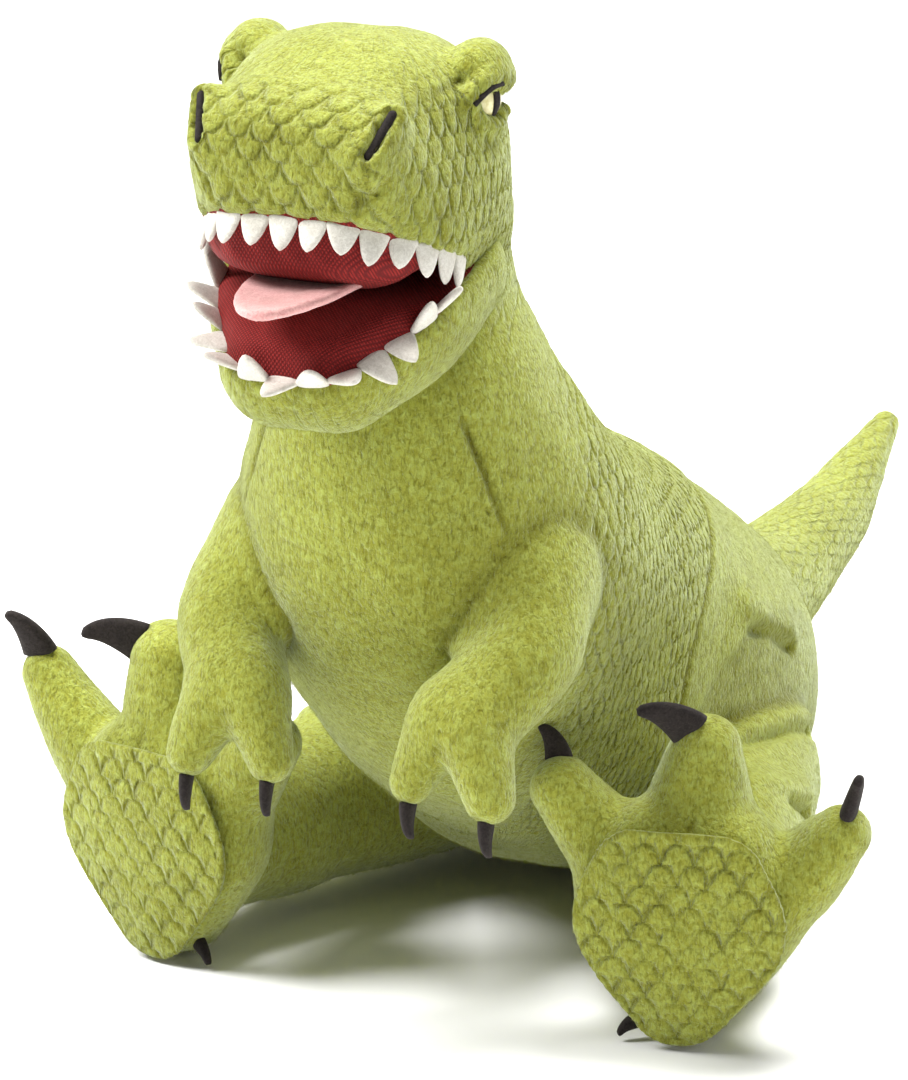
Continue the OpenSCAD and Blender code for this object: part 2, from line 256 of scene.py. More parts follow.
def make(name, verts, faces, material, slot, attributes=None):
    """A smooth mesh object from millimetre vertices."""
    mesh = bpy.data.meshes.new(name)
    mesh.from_pydata((np.asarray(verts) * MM).tolist(), [], np.asarray(faces).tolist())
    mesh.update()
    mesh.polygons.foreach_set("use_smooth", [True] * len(mesh.polygons))
    for key, values in (attributes or {}).items():
        layer = mesh.attributes.new(key, "FLOAT", "POINT")
        layer.data.foreach_set("value", np.asarray(values, np.float32))
    obj = bpy.data.objects.new(name, mesh)
    bpy.context.scene.collection.objects.link(obj)
    mesh.materials.append(material)
    return obj


def mirrored(verts, faces, side):
    if side == LEFT:
        return verts, faces
    return verts * [-1, 1, 1], np.asarray(faces)[:, ::-1]


def loft(rings):
    """Closed quad mesh through rings of equal length, with a cap at each end."""
    rings = np.asarray(rings)
    count, around = rings.shape[:2]
    verts = np.vstack([rings.reshape(-1, 3), rings[0].mean(0), rings[-1].mean(0)])
    faces = []
    for i in range(count - 1):
        for j in range(around):
            k = (j + 1) % around
            faces.append([i * around + j, i * around + k, (i + 1) * around + k, (i + 1) * around + j])
    first, last = count * around, count * around + 1
    end = (count - 1) * around
    for j in range(0, around, 2):
        k, l = (j + 1) % around, (j + 2) % around
        faces.append([first, l, k, j])
        faces.append([last, end + j, end + k, end + l])
    return verts, np.array(faces)


def joined(parts):
    verts, faces, start = [], [], 0
    for v, f in parts:
        verts.append(v)
        faces.append(np.asarray(f) + start)
        start += len(v)
    return np.vstack(verts), np.vstack(faces)


# ---------------------------------------------------------------- forms

SPINE = sweep(NECK, (0, -18, 6, 40, 0), (0, -16, -52, 55, 6), (0, 6, -114, 72, 12),
              (0, 41, -169, 75, 0), (0, 122, -226, 70, 8), (0, 190, -236, 82, 6))
BACK = sweep(TAIL, (0, -290, 184, 52, 4), (0, -268, 122, 72, 12), (0, -150, 76, 63, 18),
             (0, -64, 0, 88, 2), rounding=14)
SKULL = sweep(NECK, (0, -20, 16, 40, 2), (0, -34, 44, 42, 5), (0, -61, 75, 55, 8), (0, -112, 83, 26, 21))
CHEEK = sweep(NECK, (0, -38, 40, 40, 8), (0, -88, 50, 34, 26), (0, -112, 73, 29, 19))
JAW = sweep(HINGE, (0, 22, 5, 25, 34), (0, -8, -8, 31, 27), (0, -36, -25, 27, 12))
BROW = NECK + (50, -57, 109)
EYE = NECK + (51, -62, 99)
EYE_OUT = unit((0.98, -0.17, 0.05))
NOSTRIL = NECK + ((42, -121, 102), (37, -133, 87))
NOSTRIL_OUT = unit((0.25, -0.80, 0.50))
UPPER_LID = EYE + ((3, -14, 3), (7, -9, 9), (9, 0, 11), (8, 10, 7))
LOWER_LID = EYE + ((3, -14, 0), (7, -9, -8), (9, 0, -11), (8, 9, -7))
SNOUT_FRONT = NECK[1] - 142
ARM = sweep(SHOULDER, (-18, 8, 8, 24, 0), (-4, 0, 0, 25.5, 0), (7, -26, -30, 23, 0), (-12, -55, -55, 18, 4))
FINGERS = [sweep(SHOULDER, (-17, -54, -50, 15, 0), (-26, -61, -66, 13, 0), (-31, -63, -80, 9.5, 0)),
           sweep(SHOULDER, (-8, -54, -50, 15, 0), (1, -62, -66, 14, 0), (6, -65, -81, 10.5, 0))]
THIGH = sweep(HIP, (0, 0, 0, 48, 0), (49, -114, -12, 32, 0), rounding=6)
SHIN = sweep(HIP, (49, -114, -12, 32, 0), (58, -146, -12, 31, 0), (60, -166, -12, 29, 0))
TAIL_FORM = sweep(TAIL, (0, -20, 2, 44, 0), (0, 0, 0, 40, 0), (0, 104, -8, 31, 0), (0, 198, 4, 20, 0),
                  (0, 276, 33, 7, 0), rounding=16)

MOUTH_BACK = NECK + (0, -54, 26)
PALATE_RAISED = 4
PALATE_UP = np.array([0, math.sin(math.radians(20)), math.cos(math.radians(20))])
FLOOR_UP = np.array([0, -math.sin(math.radians(22)), math.cos(math.radians(22))])
CORNER_SET_FORWARD = 34
MOUTH_HALF = 62


def above_plane(P, up):
    """Height above a mouth plane, which rises or falls towards the cheeks."""
    palate = up[1] > 0
    curve = 12 if palate else CORNER_SET_FORWARD
    forward = curve * np.minimum((P[:, 0] / MOUTH_HALF) ** 2, 1.3)
    rel = P - MOUTH_BACK - (0, 0, PALATE_RAISED if palate else 0)
    return (rel[:, 1] + forward) * up[1] + rel[:, 2] * up[2]


def head_form(P):
    """The whole head with its brows, eyelids and nostril rims, before the mouth is opened."""
    d = smooth_min(swept(P, SKULL), swept(P, CHEEK), 14)
    d = smooth_max(d, SNOUT_FRONT - P[:, 1], 9)
    A = np.column_stack([np.abs(P[:, 0]), P[:, 1:]])
    d = smooth_min(d, np.linalg.norm((A - BROW) / [1.0, 1.2, 1.0], axis=1) - 13.5, 6)
    d = smooth_min(d, to_line(A, UPPER_LID) - 3.8, 4)
    d = smooth_min(d, to_line(A, LOWER_LID) - 3.0, 5)
    d = smooth_min(d, to_line(A, NOSTRIL) - 6.0, 9)
    return smooth_max(d, 2.7 - to_line(A, NOSTRIL + NOSTRIL_OUT * 5.6), 2)


def body_form(P):
    """Trunk, neck and head in one, with the mouth opened under the palate."""
    head = head_form(P)
    rel_y = P[:, 1] - MOUTH_BACK[1] + CORNER_SET_FORWARD * np.minimum((P[:, 0] / MOUTH_HALF) ** 2, 1.3)
    open_mouth = np.minimum(-above_plane(P, PALATE_UP), -rel_y)
    head = smooth_max(head, open_mouth, 5)
    trunk = smooth_min(swept(P, SPINE), swept(P, BACK), 26)
    d = smooth_min(head, trunk, 12)
    return smooth_max(d, 0.6 - P[:, 2], 8)


def sewn_on(limb, P, root, reach, fillet):
    """A limb that flares where it meets the trunk, with a hem just under the trunk's surface."""
    far = np.linalg.norm(P - root, axis=1) - reach
    hem = smooth_max(smooth_min(limb, body_form(P) + 1.6, fillet), far, 4)
    return np.minimum(limb, hem)


def jaw_form(P):
    return smooth_max(swept(P, JAW), above_plane(P, FLOOR_UP), 5)


def arm_form(P):
    d = swept(P, ARM)
    hand = smooth_min(swept(P, FINGERS[0]), swept(P, FINGERS[1]), 3)
    return smooth_min(d, hand, 7)


def arm_sewn(P):
    return sewn_on(arm_form(P), P, SHOULDER, 56, 16)


def leg_form(P):
    d = smooth_min(swept(P, THIGH), swept(P, SHIN), 10)
    return smooth_max(d, 0.6 - P[:, 2], 5)


def leg_sewn(P):
    return sewn_on(leg_form(P), P, HIP, 84, 9)


def tail_form(P):
    return swept(P, TAIL_FORM)


def tail_sewn(P):
    return sewn_on(tail_form(P), P, TAIL, 74, 16)


# Foot, in its own frame: x across, -y out of the sole, z up from the heel
FOOT_AT = ANKLE + (2, -29, -42)


def foot_turn():
    lean, turn = math.radians(5), math.radians(12)
    about_x = np.array([[1, 0, 0], [0, math.cos(lean), -math.sin(lean)], [0, math.sin(lean), math.cos(lean)]])
    about_z = np.array([[math.cos(turn), -math.sin(turn), 0], [math.sin(turn), math.cos(turn), 0], [0, 0, 1]])
    return about_z @ about_x


FOOT_AXES = foot_turn()
SOLE_Y = -20
PAD = sweep((0, 0, 0), (0, 0, 25, 24, 1), (1, 1, 60, 25, 28), (1, 2, 84, 24, 17), rounding=6)
INNER_TOE = sweep((0, 0, 0), (-24, 5, 70, 21, 0), (-42, 5, 95, 17, 0), (-54, 5, 110, 14, 0))
TOES = {LEFT: (INNER_TOE,
               sweep((0, 0, 0), (3, 8, 82, 24, 4), (5, 12, 112, 18, 3), (7, 15, 130, 14, 1)),
               sweep((0, 0, 0), (30, 5, 62, 23, 0), (52, 7, 80, 18, 0), (66, 8, 97, 13, 0))),
        RIGHT: (INNER_TOE,
                sweep((0, 0, 0), (3, 8, 82, 24, 4), (5, 12, 112, 20, 3), (7, 15, 133, 17, 2)),
                sweep((0, 0, 0), (30, 5, 66, 23, 0), (57, 7, 93, 18, 0), (74, 8, 116, 13, 0)))}
# Which way each toe's claw points, and which way its tip curls
TOE_CLAWS = {LEFT: (((-0.2, 0.4, 0.9), (-1, 0, 0)),
                    ((-0.5, -0.45, 0.75), (-1, 0, -1)),
                    ((0.3, -0.1, 1), (0, -1, 0))),
             RIGHT: (((-0.4, -0.3, 0.8), (-1, 0, 0)),
                     ((0.7, -0.45, 0.55), (0, 0, -1)),
                     ((0.1, -0.3, 1), (1, -0.3, 0)))}


def in_foot(P):
    return (P - FOOT_AT) @ FOOT_AXES


def from_foot(P):
    return np.asarray(P) @ FOOT_AXES.T + FOOT_AT


def foot_form(Q, side=LEFT):
    d = swept(Q, PAD)
    for toe in TOES[side]:
        d = smooth_min(d, swept(Q, toe), 6)
    return smooth_max(d, SOLE_Y - Q[:, 1], 7)


def sole_form(Q):
    flat = Q * [1, 0, 1] + [0, 1, 0]
    outline = swept(flat, PAD) + 2.5
    crown = 3.4 * ramp(-outline, 0, 26)
    return smooth_max(outline, np.abs(Q[:, 1] - SOLE_Y + 0.2) - 1.4 - crown, 3)


# ---------------------------------------------------------------- cloth detail

def scales(u, v):
    """Staggered rows of U-shaped scales, one unit each: 1 on a scale's edge and 0 inside it."""
    row = np.floor(v)
    x = 2 * np.abs((u - 0.5 * (row % 2)) % 1 - 0.5)
    return np.exp(-((v - row - x ** SCALE_ROUND) / (SCALE_EDGE * (1 + SCALE_STEEP * x))) ** 2)


SCALE_ROUND = 3.2      # how flat a scale's end is
SCALE_EDGE = 0.085     # half width of its edge line
SCALE_STEEP = 3.0      # how much the line widens where it runs up the side
SCALE_OFFSET = 200     # keeps the scale coordinates above 0


def groove(distance, width):
    return np.exp(-(distance / width) ** 2)


def lumps(P, seed):
    """Uneven stuffing: broad swells and shallow dents."""
    return 1.1 * noise(P, 38, seed) + 0.6 * noise(P, 17, seed + 1) + 0.25 * noise(P, 7, seed + 2)


def cover(name, form, low, high, detail, side=LEFT, to_row=None, cell=CELL):
    """A plush cover: the form's surface, pushed along its normals by the detail function."""
    verts, faces = surface(form, low, high, cell)
    if to_row is not None:
        verts = to_row(verts)
    verts, faces = mirrored(verts, faces, side)
    push, attributes = detail(verts * [side, 1, 1], verts)
    verts = verts + normals_of(verts, faces) * push[:, None]
    obj = make(name, verts, faces, PLUSH, "green_plush", attributes)
    pile(obj)
    return obj


def head_or_neck(P):
    """Above 0 on the head side of the seam that joins head and neck."""
    return (P - NECK) @ unit((0, -0.35, 1)) - 8


ARM_ROOT = SHOULDER + (0, -25, 10)      # where the neck seam meets the arm
NECK_SEAM = np.vstack([NECK + (50, -80, 0), NECK + (45, -60, -40), ARM_ROOT])
NOSE_SEAM = np.vstack([NECK + (32, -140, 60), NOSTRIL[1], NOSTRIL[0], BROW + (0, -15, 0)])
GUSSET_SEAM = np.vstack([ARM_ROOT, SHOULDER + (-15, -35, -25)])
ARM_TOP_SEAM = np.vstack([ARM_ROOT, SHOULDER + (15, 0, 20), SHOULDER + (20, 25, 15)])
HIP_PANEL, HIP_PANEL_R = HIP + (0, 30, 40), 112     # the plain cloth round the hip lies inside this ball


def hip_fold(height, front, back, out):
    """A slack fold at the hip, from front to back, which drops a little as it goes back."""
    middle = (front + back) / 2
    return HIP + ((out, front, height), (out + 8, middle, height - 8), (out + 8, back, height - 20))


HIP_FOLDS = [hip_fold(80, -20, 20, 22), hip_fold(40, -60, 20, 30), hip_fold(20, -75, -30, 50)]


def folded(P):
    """How far the slack cloth at the hip swells above each fold and pulls in along it."""
    push = np.zeros(len(P))
    for fold in HIP_FOLDS:
        push += 3.6 * groove(to_line(P, fold + (0, 0, 10)), 9) - 5.5 * groove(to_line(P, fold), 3.4)
    return push


def body_detail(P):
    A = np.column_stack([np.abs(P[:, 0]), P[:, 1:]])
    forward = NECK[1] - P[:, 1]
    wobble = 2.2 * noise(P, 22, 5)
    belly = ramp(np.degrees(np.arctan2(A[:, 0], -(P[:, 1] + 175))), 62, 44) * ramp(P[:, 2], 335, 300)
    head = ramp(head_or_neck(P), -4, 12)
    snout = ramp(forward, 104, 124) * ramp(A[:, 0], 50, 40)
    crown = ramp(P[:, 2], NECK[2] + 100, NECK[2] + 118) * (1 - snout)
    round_head = np.arctan2(A[:, 0], -(P[:, 1] + 272)) * 62
    round_trunk = np.arctan2(A[:, 0], -(P[:, 1] + 150)) * 88
    around = np.where(head > 0.5, round_head, round_trunk)
    on_snout = snout > 0.5
    u = (np.where(on_snout, P[:, 0] / 14, around / 6.5) + wobble / 10) + SCALE_OFFSET
    v = np.where(on_snout, (P[:, 2] - 0.5 * forward) / 9, P[:, 2] / 10.5) + wobble / 12 + SCALE_OFFSET
    hip = np.linalg.norm(A - HIP_PANEL, axis=1) - HIP_PANEL_R
    clear = np.abs(2 * snout - 1) * np.abs(2 * head - 1) * ramp(hip, -1, 3)
    on = clear * np.maximum(snout, (1 - belly) * (1 - 0.8 * crown)) * ramp(P[:, 2], 30, 80)
    seams = np.max([groove(to_line(A, line), width) for line, width in
                    ((NECK_SEAM, 1.7), (NOSE_SEAM, 1.5), (GUSSET_SEAM, 1.5))], axis=0)
    seams = np.maximum(seams, groove(hip, 1.8) * ramp(P[:, 2], 14, 30))
    limb = np.maximum(0.45 * groove(arm_sewn(A), 1.3), 0.8 * groove(leg_sewn(A), 2.0))
    seams = np.maximum(seams, np.maximum(limb, 0.7 * groove(tail_sewn(P), 1.8)))
    push = lumps(P, 11) * ramp(P[:, 2], 4, 30) - 2.0 * seams - 0.9 * on * scales(u, v) + folded(A)
    # the groove layer also marks where the plush material paints shade into the seams
    return push, {"groove": np.clip(seams, 0, 1), "scale_u": u, "scale_v": v, "scale_on": on}


def plain_detail(form_near, seed, extra=None):
    """Plain pile with a pulled-in seam where the cover meets the form next to it."""
    def detail(L, P):
        seams = 0.6 * groove(form_near(L), 1.5)
        if extra is not None:
            seams = np.maximum(seams, extra(L))
        return lumps(P, seed) * 0.8 - 1.8 * seams, {"groove": np.clip(seams, 0, 1)}
    return detail


# ---------------------------------------------------------------- materials

def nodes_of(name):
    material = bpy.data.materials.new(name)
    material.use_nodes = True
    tree = material.node_tree
    return material, tree, tree.nodes["Principled BSDF"]


def add(tree, kind, **inputs):
    node = tree.nodes.new(kind)
    for key, value in inputs.items():
        if key in node.bl_rna.properties and key not in ("inputs", "outputs"):
            setattr(node, key, value)
        else:
            node.inputs[key.replace("_", " ")].default_value = value
    return node


def ramped(tree, source, stops):
    node = tree.nodes.new("ShaderNodeValToRGB")
    tree.links.new(source, node.inputs[0])
    elements = node.color_ramp.elements
    while len(elements) < len(stops):
        elements.new(0.5)
    for element, (at, colour) in zip(elements, stops):
        element.position = at
        element.color = (*colour, 1)
    return node.outputs[0]


def mixed(tree, amount, a, b, blend="MIX"):
    node = tree.nodes.new("ShaderNodeMix")
    node.data_type = "RGBA"
    node.blend_type = blend
    for socket, value in ((node.inputs[0], amount), (node.inputs[6], a), (node.inputs[7], b)):
        if isinstance(value, bpy.types.NodeSocket):
            tree.links.new(value, socket)
        else:
            socket.default_value = value if isinstance(value, float) else (*value, 1)
    return node.outputs[2]


def calc(tree, operation, *values):
    """A maths node; each value is a number or a socket."""
    node = tree.nodes.new("ShaderNodeMath")
    node.operation = operation
    for socket, value in zip(node.inputs, values):
        if isinstance(value, bpy.types.NodeSocket):
            tree.links.new(value, socket)
        else:
            socket.default_value = value
    return node.outputs[0]


def attribute(tree, name):
    node = tree.nodes.new("ShaderNodeAttribute")
    node.attribute_name = name
    return node.outputs["Fac"]


def scale_edges(tree):
    """The same rows of scales as scales() makes, drawn sharply from the stored coordinates."""
    u, v = attribute(tree, "scale_u"), attribute(tree, "scale_v")
    row = calc(tree, "FLOOR", v)
    shifted = calc(tree, "SUBTRACT", u, calc(tree, "MULTIPLY", calc(tree, "MODULO", row, 2.0), 0.5))
    off_middle = calc(tree, "SUBTRACT", calc(tree, "FRACT", shifted), 0.5)
    x = calc(tree, "MULTIPLY", calc(tree, "ABSOLUTE", off_middle), 2.0)
    rounded = calc(tree, "POWER", x, SCALE_ROUND)
    over = calc(tree, "ABSOLUTE", calc(tree, "SUBTRACT", calc(tree, "FRACT", v), rounded))
    steep = calc(tree, "MULTIPLY_ADD", x, SCALE_STEEP * SCALE_EDGE, SCALE_EDGE)
    squared = calc(tree, "POWER", calc(tree, "DIVIDE", over, steep), 2.0)
    edge = calc(tree, "EXPONENT", calc(tree, "MULTIPLY", squared, -1.0))
    # uneven strength along the edge lines, which set both the painted shade in the plush colour and the bump
    edge_breakup_noise = add(tree, "ShaderNodeTexNoise", Scale=70.0, Detail=2.0, Roughness=0.5)
    tree.links.new(add(tree, "ShaderNodeTexCoord").outputs["Object"], edge_breakup_noise.inputs["Vector"])
    edge_breakup = ramped(tree, edge_breakup_noise.outputs[0], [(0.38, (0.3, 0.3, 0.3)), (0.6, (1, 1, 1))])
    return calc(tree, "MULTIPLY", calc(tree, "MULTIPLY", edge, edge_breakup), attribute(tree, "scale_on"))


def plush_material():
    """Short directional pile: streaks along the nap, with painted shade darkening it along seams and scale
    edges.
    """
    material, tree, shader = nodes_of("green_plush")
    link = tree.links.new
    place = add(tree, "ShaderNodeTexCoord").outputs["Object"]
    stretch = tree.nodes.new("ShaderNodeMapping")
    stretch.inputs["Scale"].default_value = (780, 780, 260)
    link(place, stretch.inputs[0])
    strands = add(tree, "ShaderNodeTexNoise", Scale=1.0, Detail=4.0, Roughness=0.62, Distortion=0.7)
    link(stretch.outputs[0], strands.inputs["Vector"])
    clumps = add(tree, "ShaderNodeTexNoise", Scale=330.0, Detail=4.0, Roughness=0.65, Distortion=0.6)
    broad = add(tree, "ShaderNodeTexNoise", Scale=26.0, Detail=2.0, Roughness=0.5)
    for node in (clumps, broad):
        link(place, node.inputs["Vector"])
    tone = ramped(tree, clumps.outputs[0], [(0.30, PLUSH_DARK), (0.5, PLUSH_MIDDLE), (0.70, PLUSH_PALE)])
    patch = ramped(tree, broad.outputs[0], [(0.35, (0.90, 0.89, 0.82)), (0.65, (1.0, 1.0, 1.0))])
    tone = mixed(tree, 1.0, tone, patch, "MULTIPLY")
    streak = ramped(tree, strands.outputs[0], [(0.32, (0.46, 0.43, 0.25)), (0.54, (1.0, 1.0, 1.0))])
    tone = mixed(tree, 0.85, tone, streak, "MULTIPLY")
    scale = scale_edges(tree)
    # painted shade: seam grooves and scale edges are multiplied towards this brown, standing in for the shade
    # in these recesses
    dark = calc(tree, "MAXIMUM", attribute(tree, "groove"), calc(tree, "MULTIPLY", scale, 0.5))
    deep = mixed(tree, 1.0, tone, (0.42, 0.38, 0.20), "MULTIPLY")
    link(mixed(tree, dark, tone, deep), shader.inputs["Base Color"])
    shader.inputs["Roughness"].default_value = 1.0
    shader.inputs["Specular IOR Level"].default_value = 0.1
    shader.inputs["Sheen Weight"].default_value = 0.65
    shader.inputs["Sheen Roughness"].default_value = 0.35
    shader.inputs["Sheen Tint"].default_value = (0.88, 1.0, 0.76, 1)
    rough = add(tree, "ShaderNodeBump", Strength=1.0, Distance=0.0012)
    fine = add(tree, "ShaderNodeBump", Strength=1.0, Distance=0.0009)
    sewn = add(tree, "ShaderNodeBump", Strength=0.9, Distance=0.0013)
    sewn.invert = True
    link(scale, sewn.inputs["Height"])
    link(clumps.outputs[0], rough.inputs["Height"])
    link(strands.outputs[0], fine.inputs["Height"])
    link(sewn.outputs[0], rough.inputs["Normal"])
    link(rough.outputs[0], fine.inputs["Normal"])
    link(fine.outputs[0], shader.inputs["Normal"])
    return material


PLUSH_DARK, PLUSH_MIDDLE, PLUSH_PALE = (0.255, 0.258, 0.028), (0.328, 0.356, 0.060), (0.392, 0.446, 0.105)


def felt_material(name, dark, light, sheen, tint, grain=520.0, depth=0.0005):
    """Pressed felt or fleece: fine matted fibres."""
    material, tree, shader = nodes_of(name)
    link = tree.links.new
    place = add(tree, "ShaderNodeTexCoord").outputs["Object"]
    fibres = add(tree, "ShaderNodeTexNoise", Scale=grain, Detail=5.0, Roughness=0.7, Distortion=1.5)
    patches = add(tree, "ShaderNodeTexNoise", Scale=90.0, Detail=2.0, Roughness=0.5)
    for node in (fibres, patches):
        link(place, node.inputs["Vector"])
    colour = ramped(tree, fibres.outputs[0], [(0.3, dark), (0.65, light)])
    shade = ramped(tree, patches.outputs[0], [(0.3, (0.88, 0.87, 0.85)), (0.7, (1.0, 1.0, 1.0))])
    link(mixed(tree, 1.0, colour, shade, "MULTIPLY"), shader.inputs["Base Color"])
    shader.inputs["Roughness"].default_value = 0.95
    shader.inputs["Specular IOR Level"].default_value = 0.2
    shader.inputs["Sheen Weight"].default_value = sheen
    shader.inputs["Sheen Roughness"].default_value = 0.5
    shader.inputs["Sheen Tint"].default_value = (*tint, 1)
    bump = add(tree, "ShaderNodeBump", Strength=0.8, Distance=depth)
    link(fibres.outputs[0], bump.inputs["Height"])
    link(bump.outputs[0], shader.inputs["Normal"])
    return material


def woven_material():
    """Open red weave: a staggered grid of threads about 1.2 mm apart, with dark gaps."""
    material, tree, shader = nodes_of("red_cloth")
    link = tree.links.new
    place = add(tree, "ShaderNodeTexCoord").outputs["Object"]
    waves = []
    for across in (-0.7, 0.7):
        phase = tree.nodes.new("ShaderNodeVectorMath")
        phase.operation = "DOT_PRODUCT"
        phase.inputs[1].default_value = [THREADS * part for part in (across, 0.5, 0.5)]
        link(place, phase.inputs[0])
        waves.append(calc(tree, "MULTIPLY_ADD", calc(tree, "SINE", phase.outputs["Value"]), 0.5, 0.5))
    knit = calc(tree, "MULTIPLY", *waves)
    colour = ramped(tree, knit, [(0.02, (0.110, 0.004, 0.004)), (0.35, (0.220, 0.009, 0.008)),
                                 (0.8, (0.290, 0.018, 0.014))])
    link(colour, shader.inputs["Base Color"])
    shader.inputs["Roughness"].default_value = 0.8
    shader.inputs["Specular IOR Level"].default_value = 0.25
    shader.inputs["Sheen Weight"].default_value = 0.04
    shader.inputs["Sheen Tint"].default_value = (1.0, 0.55, 0.45, 1)
    bump = add(tree, "ShaderNodeBump", Strength=0.8, Distance=0.0005)
    link(knit, bump.inputs["Height"])
    link(bump.outputs[0], shader.inputs["Normal"])
    return material


THREADS = 2 * math.pi / 0.0012     # radians in a metre of cloth


def eye_material():
    """Moulded plastic eye with faint flecks."""
    material, tree, shader = nodes_of("eye_yellow")
    link = tree.links.new
    place = add(tree, "ShaderNodeTexCoord").outputs["Object"]
    flecks = add(tree, "ShaderNodeTexNoise", Scale=420.0, Detail=3.0, Roughness=0.6)
    link(place, flecks.inputs["Vector"])
    colour = ramped(tree, flecks.outputs[0], [(0.3, (0.62, 0.55, 0.20)), (0.7, (0.86, 0.82, 0.46))])
    link(colour, shader.inputs["Base Color"])
    shader.inputs["Roughness"].default_value = 0.16
    shader.inputs["Coat Weight"].default_value = 0.6
    shader.inputs["Coat Roughness"].default_value = 0.05
    return material


PLUSH = plush_material()
CREAM = felt_material("cream_felt", (0.56, 0.53, 0.46), (0.80, 0.78, 0.71), 0.25, (1, 0.98, 0.94))
BLACK = felt_material("black_felt", (0.006, 0.004, 0.004), (0.030, 0.024, 0.022), 0.12, (0.6, 0.55, 0.5))
PINK = felt_material("pink_felt", (0.62, 0.25, 0.24), (0.86, 0.50, 0.47), 0.5, (1, 0.8, 0.78), 420.0, 0.0007)
RED = woven_material()
YELLOW = eye_material()


PILE_LENGTH = 0.0010       # metres
PILE_RADIUS = 0.00007
PILE_DENSITY = 120000      # guide hairs in a square metre
PILE_CHILDREN = 5          # hairs shown round each guide


def pile(obj):
    """Short hair over a cover: leaning down and back, clumped, and shorter in the grooves."""
    groove_value = np.zeros(len(obj.data.vertices), np.float32)
    if "groove" in obj.data.attributes:
        obj.data.attributes["groove"].data.foreach_get("value", groove_value)
    group = obj.vertex_groups.new(name="pile_length")
    for level in range(8):
        chosen = np.flatnonzero(np.minimum((groove_value * 8).astype(int), 7) == level)
        if len(chosen):
            group.add(chosen.tolist(), 1 - 0.7 * level / 7, "REPLACE")
    area = sum(face.area for face in obj.data.polygons)
    modifier = obj.modifiers.new("pile", "PARTICLE_SYSTEM")
    system = modifier.particle_system
    system.seed = len(bpy.data.objects)
    system.vertex_group_length = "pile_length"
    hair = system.settings
    hair.type = "HAIR"
    hair.use_advanced_hair = True
    hair.count = int(area * PILE_DENSITY)
    hair.hair_step = 3
    hair.render_step = 3
    hair.display_step = 2
    step = PILE_LENGTH / 4
    hair.normal_factor = 0.75 * step
    hair.object_align_factor = (0.0, 0.3 * step, -0.75 * step)
    hair.factor_random = 0.25 * step
    hair.length_random = 0.5
    hair.child_type = "SIMPLE"
    hair.child_percent = 1
    hair.rendered_child_count = PILE_CHILDREN
    hair.child_radius = 0.0016
    hair.clump_factor = 0.1
    hair.roughness_endpoint = 0.0004
    hair.root_radius = 1.0
    hair.tip_radius = 0.35
    hair.radius_scale = PILE_RADIUS
    hair.material = 1


# ---------------------------------------------------------------- covers

def trunk_and_head():
    """One skin, split at the neck seam, so that both pieces share their edge."""
    low, high = (-100, -385, -4), (100, 92, 452)
    verts, faces = surface(body_form, low, high, CELL)
    push, attributes = body_detail(verts)
    verts = verts + normals_of(verts, faces) * push[:, None]
    on_head = head_or_neck(verts[faces].mean(1)) > 0
    pieces = []
    body_nodes = ("torso_skin", "torso_stuffing")
    head_nodes = ("head_skin", "head_stuffing", "left_brow", "right_brow")
    for name, mask, nodes in (("body_cover", ~on_head, body_nodes), ("head_cover", on_head, head_nodes)):
        part = faces[mask]
        used = np.unique(part)
        index = np.full(len(verts), -1)
        index[used] = np.arange(len(used))
        layers = {key: values[used] for key, values in attributes.items()}
        slot = "green_plush" if name == "body_cover" else "scaled_plush"
        obj = make(name, verts[used], index[part], PLUSH, slot, layers)
        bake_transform(obj)
        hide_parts(*nodes)
        pile(obj)
        pieces.append(obj)
    return pieces


def jaw_cover():
    def detail(L, P):
        u, v = P[:, 0] / 8 + SCALE_OFFSET, (P[:, 2] + 0.6 * P[:, 1]) / 11 + SCALE_OFFSET
        on = np.full(len(P), 0.35)
        return lumps(P, 31) * 0.5 - on * scales(u, v), {"scale_u": u, "scale_v": v, "scale_on": on}
    obj = cover("jaw_cover", jaw_form, HINGE + (-76, -90, -66), HINGE + (76, 62, 50), detail)
    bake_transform(obj)
    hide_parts("jaw_skin", "jaw_stuffing")


def mouth_pads():
    """The red lining: one puffed pad on the palate and one on the floor of the mouth."""
    def puff(P, most):
        middle = 1 - np.clip(np.abs(P[:, 0]) / 58, 0, 1) ** 3
        forward = MOUTH_BACK[1] - P[:, 1] - CORNER_SET_FORWARD * (P[:, 0] / MOUTH_HALF) ** 2
        return most * middle * ramp(forward, 4, 48)

    def palate(P):
        up = above_plane(P, PALATE_UP)
        below = np.maximum(-up, 0)
        wall = head_form(P + below[:, None] * PALATE_UP) + 1.6 + 0.25 * below
        d = smooth_max(wall, -up - 1.2 - puff(P, 21), 6)
        return smooth_max(smooth_max(d, up - 4, 3), P[:, 1] - MOUTH_BACK[1] - 18, 3)

    def floor(P):
        up = above_plane(P, FLOOR_UP)
        over = np.maximum(up, 0)
        wall = swept(P - over[:, None] * FLOOR_UP, JAW) + 1.8 + 0.35 * over
        d = smooth_max(wall, up - 1.2 - puff(P, 13), 6)
        return smooth_max(smooth_max(d, -up - 4, 3), P[:, 1] - MOUTH_BACK[1] - 10, 3)

    for name, form, body, node in (("palate_lining_cloth", palate, "head", "palate_lining"),
                                   ("floor_lining_cloth", floor, "jaw", "jaw_lining")):
        verts, faces = surface(form, HINGE + (-76, -90, -56), HINGE + (76, 50, 76), CELL)
        verts = verts + normals_of(verts, faces) * (0.4 * noise(verts, 12, 3))[:, None]
        obj = make(name, verts, faces, RED, "red_cloth")
        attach(obj, body)
        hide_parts(node)


